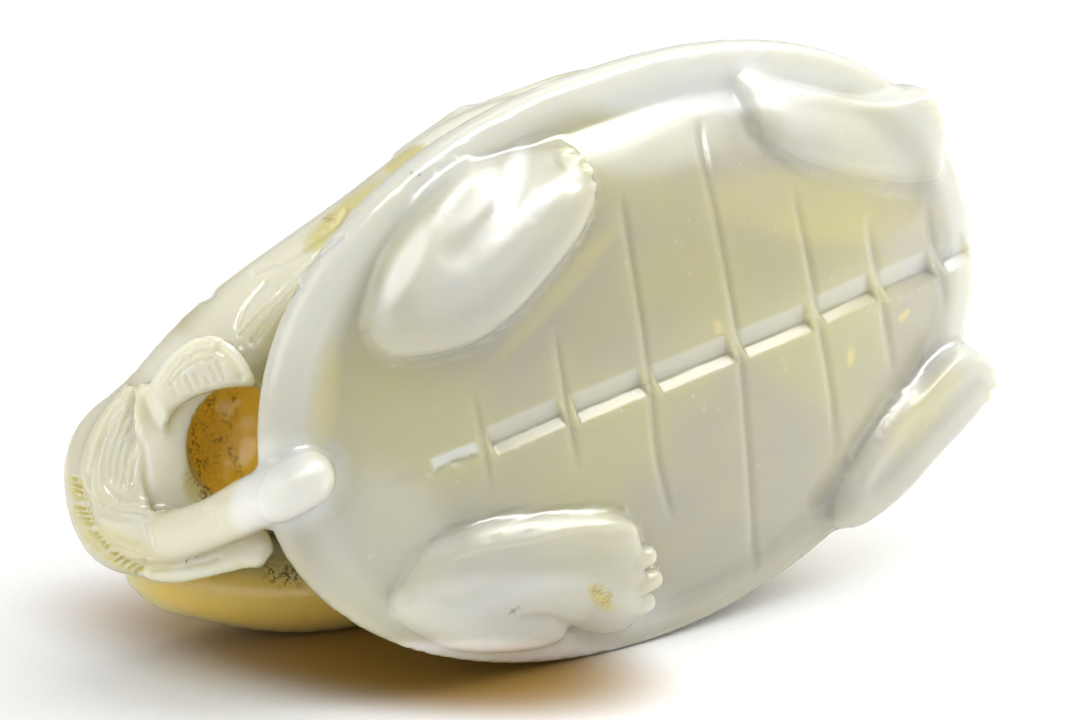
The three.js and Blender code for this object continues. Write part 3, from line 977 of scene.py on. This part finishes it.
def colour_layers(corners, normals, lines, edge, middle):
    """How pale and golden the stone is at each corner, with painted light, shade and reflections among
    them, its painted glow and highlights, its stains, and how soft its polish.
    """
    across, down, near = seen(corners)
    share = reach(corners[:, 0], corners[:, 1])
    front = np.clip(corners[:, 2] + 1.5, 0, 1)
    facing = np.clip((normals @ AXES[:, 2]) * 3, 0, 1)
    belly = belly_height(np.minimum(share, 1.0))
    raised = np.clip((corners[:, 2] - belly - 0.1) / 0.8, 0, 1)
    # The rim is painted lighter towards the top of the picture, where light from above falls, and darker
    # towards the bottom
    rim = np.clip((share - RIM_START) / 0.1, 0, 1) * np.clip((RIM_FADED_ROW - down) / 250, 0.15, 1)
    pale = np.maximum(raised * LEG_PALENESS, rim * RIM_PALENESS) * front
    # Pale patches are paler stone together with painted light and painted reflections
    pale = np.maximum(pale, patches(PALE_AND_LIT_PATCHES, across, down, near, 0.7) * facing)
    # Golden stone, with painted shade lit golden through the stone on the lobe and in the hollow
    golden = patches(GOLDEN_AND_SHADED_PATCHES, across, down, near, 0.8) * facing
    golden = np.maximum(BACK_GOLD * (1 - front), golden)
    # Painted glow of thin stone and painted highlights
    thin_glow = patches(THIN_GLOW_PATCHES, across, down, near, 0.8) * facing
    stain = patches(STAINS, across, down, near, 0.9) * facing
    softness = raised * front
    for cuts, values, strength, most in ((lines, pale, 1.3, 0.9), (edge, golden, 1.2, 0.5)):
        for cut in cuts:
            close, off, _, _ = close_to(cut, across, down, facing > 0, 1)
            values[close] = np.maximum(values[close], np.clip(strength - off / LINE_SPREAD, 0, most))
    # A painted reflection lightens the upper slope of each step of the middle line
    for place, cut in enumerate(middle):
        close, off, side, run = close_to(cut, across, down, facing > 0)
        inside = np.clip((cut.left - off) / 3, 0, 1) * np.clip(cut.to_end(run) / 5, 0, 1)
        painted_reflection = MIDDLE_PAINTED_REFLECTION if place else FIRST_STEP_PAINTED_REFLECTION
        pale[close] = np.maximum(pale[close], np.where(side < 0, painted_reflection * inside, 0))
        bevel = (side > 0) & (off < cut.right + 1)
        softness[close] = np.maximum(softness[close], np.where(bevel, 1, 0))
    return dict(zip(LAYERS, (pale, golden, thin_glow * (1 - golden), stain, softness)))


def near_cuts(corners, normals, cuts, margin, back=False):
    """Which corners lie on or beside a cut."""
    across, down, facing = sheet(corners, normals, back)
    chosen = np.zeros(len(corners), bool)
    for cut in cuts:
        close, off, side, _ = close_to(cut, across, down, ~chosen & (facing > 0.1), margin)
        chosen[close[off < np.where(side > 0, cut.right, cut.left) + margin]] = True
    return chosen


# Parts of the picture with small forms: middle and half sizes
DETAILED = [
    ((170, 460), (100, 125)),
    ((652, 580), (24, 42)),
    ((578, 168), (28, 30)),
    ((938, 118), (20, 42)),
    ((986, 378), (20, 32)),
    # The last part is made finer for the painted highlight streak on the left hind leg
    ((408, 264), (32, 50)),
]


def detailed(corners, normals):
    """Which corners lie in a part with small forms."""
    across, down, facing = sheet(corners, normals)
    near = [patch(across, down, middle, size) > 0.5 for middle, size in DETAILED]
    return np.any(near, axis=0) & (facing > 0.1)


def carved_net(forms, front, middle, behind):
    """The forms' surface as corners, their normals and triangles, finest where cuts will be made."""
    corners, faces = net_of(*sampled(forms))
    corners, normals = settled(corners, forms)
    for place, (width, margin) in enumerate(FINER):
        cuts = [cut for cut in front if min(cut.left, cut.right) < width]
        chosen = near_cuts(corners, normals, cuts, margin)
        if place < 2:
            chosen |= near_cuts(corners, normals, middle, MIDDLE_MARGIN)
        if place == 0:
            chosen |= near_cuts(corners, normals, behind, margin, back=True)
            chosen |= detailed(corners, normals)
        corners, faces = refined(corners, faces, chosen[faces].sum(axis=1) > 1)
        corners, normals = settled(corners, forms)
    return corners, normals, faces


# Finished mesh

def added(name, data):
    """A new object of the scene, at the origin."""
    made = bpy.data.objects.new(name, data)
    bpy.context.scene.collection.objects.link(made)
    return made


def mesh_object(name, corners, faces, layers):
    """A smooth-shaded object in the frame's metres, with a number layer for each entry of layers."""
    matrix = np.array(lying())
    placed = corners @ matrix[:3, :3].T + matrix[:3, 3]
    placed[:, 2] = np.maximum(placed[:, 2], 0)
    data = bpy.data.meshes.new(name)
    data.from_pydata(placed.tolist(), [], faces.tolist())
    for key, values in layers.items():
        layer = data.attributes.new(key, "FLOAT", "POINT")
        layer.data.foreach_set("value", values.astype(np.float32))
    data.shade_smooth()
    data.validate()
    return added(name, data)


# Materials

def cleared(owner):
    """The emptied node tree of a new material or world."""
    owner.use_nodes = True
    owner.node_tree.nodes.clear()
    return owner.node_tree


def add_node(tree, kind, settings=None, inputs=None, output=0):
    """Adds a node with its settings, and its inputs linked or set, and gives one of its outputs."""
    made = tree.nodes.new(kind)
    for key, value in (settings or {}).items():
        setattr(made, key, value)
    for key, value in (inputs or {}).items():
        if isinstance(value, bpy.types.NodeSocket):
            tree.links.new(value, made.inputs[key])
        else:
            made.inputs[key].default_value = value
    return made.outputs[output] if made.outputs else None


SMOOTH = {"interpolation_type": "SMOOTHSTEP"}


def ranges(low, high, to_low=0.0, to_high=1.0):
    """The two ends of a range and what they become."""
    return {"From Min": low, "From Max": high, "To Min": to_low, "To Max": to_high}


def blots(tree, place, size, detail, *ends):
    """Soft blots of a size in mm. ends are the ends of the noise's range and what they become."""
    inputs = {"Vector": place, "Scale": 1 / (size * MM), "Detail": detail}
    noise = add_node(tree, "ShaderNodeTexNoise", {}, inputs)
    return add_node(tree, "ShaderNodeMapRange", SMOOTH, {"Value": noise, **ranges(*ends)})


def coated(tree, base, coats):
    """A hex colour with coats over it, each with a strength and a hex colour of its own."""
    colour = linear(base)
    for strength, coat in coats:
        inputs = {0: strength, 6: colour, 7: linear(coat)}
        colour = add_node(tree, "ShaderNodeMix", {"data_type": "RGBA"}, inputs, 2)
    return colour


# Sizes in mm of the stone's clouds, its pale flecks, the grains of dirt, the clumps that they make and
# the ripples that grinding left, and of the card's grain, which is drawn coarser than it is
CLOUD_SIZE = 14.3
FLECK_SIZE = 0.6667
GRAIN_SIZE = 0.2778
CLUMP_SIZE = 1.111
RIPPLE_SIZE = 2.381
CARD_GRAIN_SIZE = 0.4

# How much nephrite bends light, its roughness on the belly and on the worn feet, and how high in mm the
# ripples are
NEPHRITE_IOR = 1.61
POLISH = (0.18, 0.34)
RIPPLE_HEIGHT = 0.2


def polished_nephrite(look):
    """Pale nephrite jade, ground and polished by hand: light sinks in and the surface is glassy.

    The olive stone has soft clouds and fine pale flecks. Thin edges, the rim and raised parts are whiter,
    partly paler stone and partly painted glow and light from above, paint on the belly stands for
    reflections and highlights, and the shaded lobe and hollow carry painted golden light through the
    stone. The feet are a little less glossy from wear. Old dirt has stained the hollow brown, and faint
    ripples from grinding break up the shine.
    """
    material = bpy.data.materials.new("polished_nephrite")
    tree = cleared(material)
    place = add_node(tree, "ShaderNodeTexCoord", output="Object")
    pale, golden, thin_glow, stain, softness = (
        add_node(tree, "ShaderNodeAttribute", {"attribute_name": name}, output="Fac") for name in LAYERS
    )
    clouds = blots(tree, place, CLOUD_SIZE, 2.0, 0.35, 0.65)
    flecks = blots(tree, place, FLECK_SIZE, 2.0, 0.71, 0.78, 0.0, 0.3)
    grains = blots(tree, place, GRAIN_SIZE, 3.0, 0.45, 0.58)
    clumps = blots(tree, place, CLUMP_SIZE, 2.0, 0.36, 0.6, 0.15, 1.0)
    # The golden layer's lower half warms the stone and its upper half turns it golden: golden stone, and
    # painted golden light through the stone in the shade
    warm = add_node(tree, "ShaderNodeMapRange", SMOOTH, {"Value": golden, **ranges(0.0, 0.5)})
    gold = add_node(tree, "ShaderNodeMapRange", SMOOTH, {"Value": golden, **ranges(0.5, 1.0)})
    specks = add_node(tree, "ShaderNodeMath", {"operation": "MULTIPLY"}, {0: grains, 1: clumps})
    dirt = add_node(tree, "ShaderNodeMath", {"operation": "MULTIPLY"}, {0: stain, 1: specks})
    # Coats over the olive stone; the pale, thin-glow and golden ones also carry painted light, glow,
    # highlights, reflections and shade
    coats = [
        (clouds, look.grey_colour),
        (pale, look.pale_colour),
        (thin_glow, look.thin_glow_colour),
        (warm, look.warm_colour),
        (gold, look.golden_colour),
        (flecks, look.pale_colour),
        (dirt, look.stain_colour),
    ]
    waves = {"Vector": place, "Scale": 1 / (RIPPLE_SIZE * MM), "Detail": 3.0}
    height = add_node(tree, "ShaderNodeTexNoise", {}, waves)
    bumps = {"Strength": 0.12, "Distance": RIPPLE_HEIGHT * MM, "Height": height}
    body = {
        "Base Color": coated(tree, look.olive_colour, coats),
        "Roughness": add_node(
            tree, "ShaderNodeMapRange", SMOOTH, {"Value": softness, **ranges(0.0, 1.0, *POLISH)}
        ),
        "IOR": NEPHRITE_IOR,
        "Subsurface Weight": 1.0,
        "Subsurface Radius": (1.0, 0.85, 0.5),
        "Subsurface Scale": look.light_depth,
        "Normal": add_node(tree, "ShaderNodeBump", {}, bumps),
    }
    shader = add_node(tree, "ShaderNodeBsdfPrincipled", {"subsurface_method": "RANDOM_WALK"}, body)
    add_node(tree, "ShaderNodeOutputMaterial", {}, {"Surface": shader})
    return material


# Painted golden shadows on the card, where light through the stone would fall: middle and half sizes
# in mm in the frame, turn in degrees and strength
PAINTED_SHADOWS = [((-15, 1), (27, 12), -55, 0.88), ((-11, -5), (19, 10), -52, 0.95)]


def pale_card(look):
    """White studio card: matt, with a faint grain, and a painted golden shadow where light would come
    through the stone.
    """
    material = bpy.data.materials.new("white_card")
    tree = cleared(material)
    place = add_node(tree, "ShaderNodeTexCoord", output="Object")
    coats = [(blots(tree, place, CARD_GRAIN_SIZE, 2.0, 0.3, 0.7), look.card_grain_colour)]
    # Each painted shadow is strongest round its middle and fades outwards
    for spot, size, turn, amount in PAINTED_SHADOWS:
        laid = {
            "Vector": place,
            "Location": (spot[0] * MM, spot[1] * MM, 0),
            "Rotation": (0, 0, math.radians(turn)),
            "Scale": (size[0] * MM, size[1] * MM, 1),
        }
        moved = add_node(tree, "ShaderNodeMapping", {"vector_type": "TEXTURE"}, laid)
        far = add_node(tree, "ShaderNodeVectorMath", {"operation": "LENGTH"}, {0: moved}, "Value")
        fading = {"Value": far, **ranges(0.35, 1.0, amount, 0.0)}
        coats.append((add_node(tree, "ShaderNodeMapRange", SMOOTH, fading), look.painted_shadow_colour))
    card = {"Base Color": coated(tree, look.card_colour, coats), "Roughness": 0.9}
    shader = add_node(tree, "ShaderNodeBsdfPrincipled", {}, card)
    add_node(tree, "ShaderNodeOutputMaterial", {}, {"Surface": shader})
    return material


# Settings

def hex_property(name, description, default):
    return bpy.props.StringProperty(name=name, description=description, default=default)


class CarvingSettings(bpy.types.PropertyGroup):
    olive_colour: hex_property("Olive stone", "sRGB hex colour of the stone's body", "#B7B38E")
    grey_colour: hex_property("Grey stone", "sRGB hex colour of the greyer clouds", "#ADA999")
    # Pale stone, also used for painted light on the rim, legs and plumes and a painted reflection on the
    # belly
    pale_colour: hex_property("Pale stone", "sRGB hex colour of rims, feet and thin edges", "#DADCD8")
    # Colour of the painted glow and painted highlights of thin stone
    thin_glow_colour: hex_property("Thin stone", "sRGB hex colour of plumes that let light through", "#FFFFFC")
    # Yellower stone, also used for painted golden light through shaded stone
    warm_colour: hex_property("Warm stone", "sRGB hex colour of the yellower parts", "#CFC78E")
    # Golden stone, also used for painted golden light through the shaded lobe and hollow
    golden_colour: hex_property("Golden stone", "sRGB hex colour of stone inside the hollow", "#F4C840")
    stain_colour: hex_property("Stain", "sRGB hex colour of old dirt in the hollow", "#4A2602")
    light_depth: bpy.props.FloatProperty(
        name="Light depth",
        description="How far light spreads inside the stone",
        default=2.5 * MM,
        min=0,
        precision=4,
        unit="LENGTH",
    )
    engraving: bpy.props.FloatProperty(
        name="Engraving",
        description="How deep the fine carving is, as a share of its own depth",
        default=1.0,
        min=0,
        max=2,
        subtype="FACTOR",
    )


class StageSettings(bpy.types.PropertyGroup):
    card_colour: hex_property("Card", "sRGB hex colour of the studio card", "#FAFAFA")
    card_grain_colour: hex_property("Card grain", "sRGB hex colour of the card's faint grain", "#F7F7F6")
    # The colour of the painted golden shadow on the card
    painted_shadow_colour: hex_property("Glow", "sRGB hex colour of light through the stone", "#94701C")
    floor_half_size: bpy.props.FloatProperty(
        name="Floor half size",
        description="Half the length of a side of the card",
        default=1.5,
        min=0.1,
        unit="LENGTH",
    )


# Operators

class CARVING_OT_carve(bpy.types.Operator):
    """Carve the turtle and the crane from one pebble of nephrite"""

    bl_idname = "carving.carve"
    bl_label = "Carve the stone"

    def execute(self, context):
        look = context.scene.carving
        forms = all_forms()
        middle, plates = belly_cuts()
        feathers, edge, behind = plume_cuts(), notches(), back_cuts()
        front = middle + plates + [Cut(*fold) for fold in LEG_FOLDS] + feathers + edge
        corners, normals, faces = carved_net(forms, front, middle, behind)
        layers = colour_layers(corners, normals, feathers, edge, middle)
        depth = engraved(corners, normals, front) + engraved(corners, normals, behind, back=True)
        corners = corners - normals * (look.engraving * depth)[:, None]
        piece = mesh_object("carved_stone", corners, faces, layers)
        piece.data.materials.append(polished_nephrite(look))
        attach(piece, "root")
        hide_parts(NODE)
        return {"FINISHED"}


# Each light's name, way from the carving, distance and sizes in mm, radiance, and whether it lights the
# stone's body and whether it shows in its polish. The window is only a reflection.
LIGHTS = [
    ("window_light", (0.52, 0.78, 0.28), 300, (340, 85), 14.0, False, True),
    ("top_light", (0.42, 0.9, -0.14), 300, (400, 400), 1.55, True, True),
    ("right_light", (0.85, 0.5, -0.1), 320, (160, 160), 5.4, True, False),
    ("fill_light", (-0.62, 0.5, 0.6), 400, (360, 300), 1.75, True, True),
]
LIGHTS_AIM_HEIGHT = 20

# The strength of the white air at the level of the floor and straight above
AIR_STRENGTHS = (0.45, 0.55)


def view_ways():
    """Right, up and nearer in the camera's view, in the frame's axes."""
    turned = lying().to_3x3().normalized()
    return [turned @ Vector(AXES[:, k]) for k in range(3)]


def softbox(name, way, distance, size, radiance, diffuse, glossy):
    """A rectangular light. way is level right, up and level nearer, as the camera sees them."""
    right = view_ways()[0]
    up = Vector((0, 0, 1))
    aim = (right * way[0] + up * way[1] + right.cross(up) * way[2]).normalized()
    light = bpy.data.lights.new(name, "AREA")
    light.shape = "RECTANGLE"
    light.size, light.size_y = (s * MM for s in size)
    light.energy = radiance * math.pi * light.size * light.size_y
    made = added(name, light)
    made.location = (aim * distance + Vector((0, 0, LIGHTS_AIM_HEIGHT))) * MM
    made.rotation_euler = (-aim).to_track_quat("-Z", "Y").to_euler()
    made.visible_diffuse = diffuse
    made.visible_glossy = glossy


def camera():
    """The camera where the photograph's stood."""
    right, up, back = view_ways()
    target = Vector(SHELL_MIDDLE) - right * VIEW_OFFSET[0] - up * VIEW_OFFSET[1]
    data = bpy.data.cameras.new("camera")
    data.sensor_width = 36.0
    data.lens = CAMERA_LENS
    data.clip_start = 0.01
    made = added("camera", data)
    matrix = Matrix((right, up, back)).transposed().to_4x4()
    matrix.translation = (target + back * CAMERA_DISTANCE) * MM
    made.matrix_world = matrix
    bpy.context.scene.camera = made


def studio_air():
    """White light from all round, brightest from straight above."""
    world = bpy.data.worlds.new("studio_air")
    tree = cleared(world)
    way = add_node(tree, "ShaderNodeTexCoord", output="Generated")
    height = add_node(tree, "ShaderNodeSeparateXYZ", {}, {"Vector": way}, "Z")
    rising = {"Value": height, **ranges(0.0, 1.0, *AIR_STRENGTHS)}
    strength = add_node(tree, "ShaderNodeMapRange", {}, rising)
    sky = add_node(tree, "ShaderNodeBackground", {}, {"Color": (1, 1, 1, 1), "Strength": strength})
    add_node(tree, "ShaderNodeOutputWorld", {}, {"Surface": sky})
    return world


class CARVING_OT_stage(bpy.types.Operator):
    """Set the floor, the lights and the camera"""

    bl_idname = "carving.stage"
    bl_label = "Set the stage"

    def execute(self, context):
        look = context.scene.stage_settings
        half = look.floor_half_size
        corners = [(-half, -half, 0), (half, -half, 0), (half, half, 0), (-half, half, 0)]
        data = bpy.data.meshes.new("floor")
        data.from_pydata(corners, [], [(0, 1, 2, 3)])
        floor = added("floor", data)
        floor.data.materials.append(pale_card(look))
        for light in LIGHTS:
            softbox(*light)
        context.scene.world = studio_air()
        context.scene.view_settings.view_transform = "Standard"
        camera()
        return {"FINISHED"}


class CARVING_PT_panel(bpy.types.Panel):
    bl_label = "Crane and turtle carving"
    bl_idname = "CARVING_PT_panel"
    bl_space_type = "VIEW_3D"
    bl_region_type = "UI"
    bl_category = "Carving"

    def draw(self, context):
        for look in (context.scene.carving, context.scene.stage_settings):
            for key in look.__annotations__:
                self.layout.prop(look, key)
        for operator in OPERATORS:
            self.layout.operator(operator.bl_idname)


OPERATORS = (CARVING_OT_carve, CARVING_OT_stage)
CLASSES = (CarvingSettings, StageSettings, *OPERATORS, CARVING_PT_panel)


def register():
    for made in CLASSES:
        bpy.utils.register_class(made)
    bpy.types.Scene.carving = bpy.props.PointerProperty(type=CarvingSettings)
    bpy.types.Scene.stage_settings = bpy.props.PointerProperty(type=StageSettings)


def unregister():
    del bpy.types.Scene.stage_settings
    del bpy.types.Scene.carving
    for made in reversed(CLASSES):
        bpy.utils.unregister_class(made)


def main():
    register()
    bpy.ops.carving.carve()
    bpy.ops.carving.stage()


if __name__ == "__main__":
    main()
